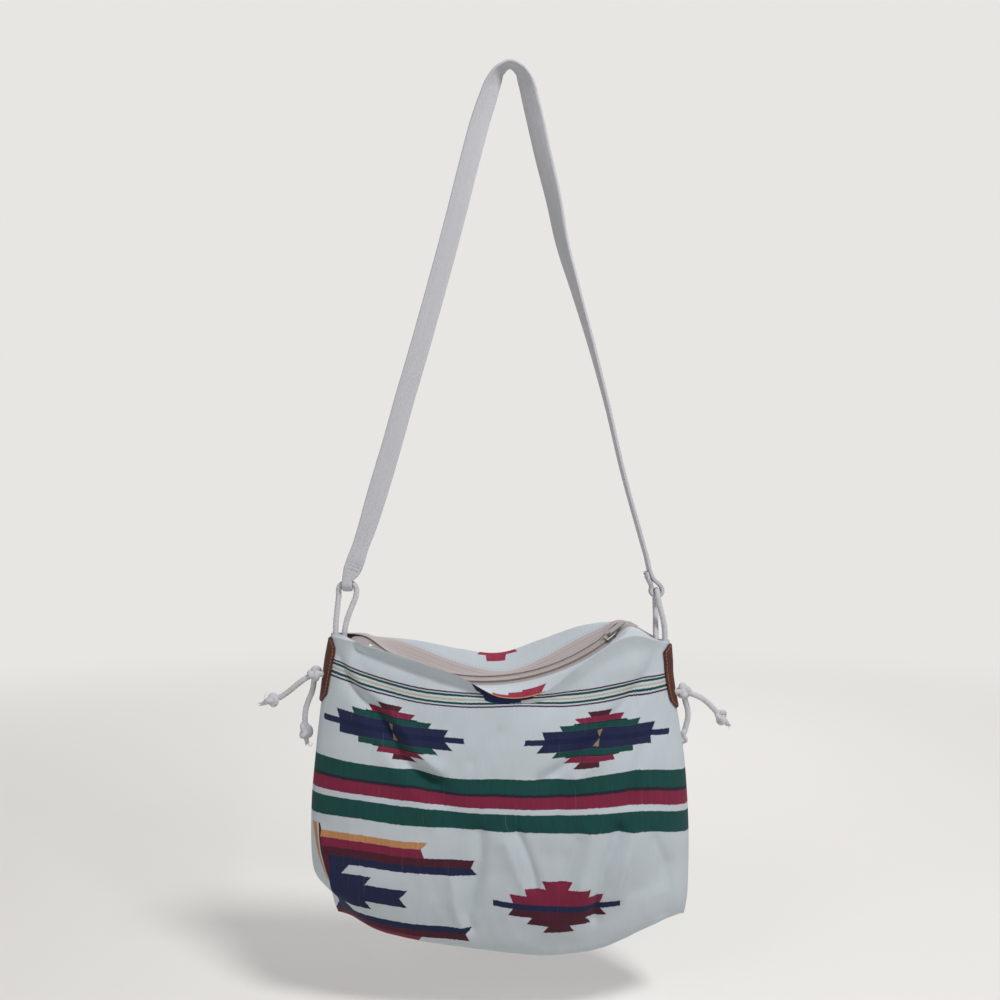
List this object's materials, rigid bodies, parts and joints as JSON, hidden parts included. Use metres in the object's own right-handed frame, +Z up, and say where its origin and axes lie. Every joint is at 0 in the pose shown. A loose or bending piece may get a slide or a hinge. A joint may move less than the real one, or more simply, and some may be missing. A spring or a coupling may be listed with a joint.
{
  "type": "canvas shoulder bag",
  "caption": "Soft printed canvas shoulder bag with a zip top, a long webbing strap on knotted cords, and leather side tabs.",
  "frame": {"origin": "underside of the strap's top bend, where a nail or hook carries the bag", "axes": "+Z up, the bag's printed front faces -Y, +Y points to the wall behind it, +X to the right seen from the front"},
  "size_m": [0.4468, 0.0883, 0.8453],
  "materials": {
    "canvas": "off-white woven cotton canvas, printed on the front",
    "leather": "brown grained leather, lightly waxed, edge-stitched",
    "zip_tape": "cream woven zip tape",
    "zip_coil": "cream nylon coil",
    "zip_metal": "nickel-plated",
    "webbing": "off-white heavy cotton webbing",
    "cord": "off-white soft cotton cord"
  },
  "bodies": {
    "bag": {"canvas_front": "canvas", "canvas_back": "canvas", "leather_tab_left": "leather", "leather_tab_right": "leather", "zip_tape_front": "zip_tape", "zip_tape_back": "zip_tape", "zip_coil_front": "zip_coil", "zip_coil_back": "zip_coil", "zip_stop_left": "zip_metal", "zip_stop_right": "zip_metal", "strap": "webbing", "cord_loop_left": "cord", "cord_loop_right": "cord", "stopper_knot_left": "cord", "stopper_knot_right": "cord", "cord_tail_left_front": "cord", "cord_tail_left_back": "cord", "cord_tail_right_front": "cord", "cord_tail_right_back": "cord", "tail_knot_left_front": "cord", "tail_knot_left_back": "cord", "tail_knot_right_front": "cord", "tail_knot_right_back": "cord"},
    "slider": {"zip_slider": "zip_metal"},
    "pull": {"zip_pull": "zip_metal"}
  },
  "joints": [
    {"name": "zip_slide", "type": "hinge", "parent": "bag", "child": "slider", "pos_m": [-0.0252, 0.0494, -0.4118], "axis": [0, 0.9265, -0.3762], "range_deg": [0, 70.4]},
    {"name": "pull_flip", "type": "hinge", "parent": "slider", "child": "pull", "pos_m": [0.09419, -0.01116, -0.54948], "axis": [0.4397, -0.8635, -0.247], "range_deg": [0, 176]}
  ]
}
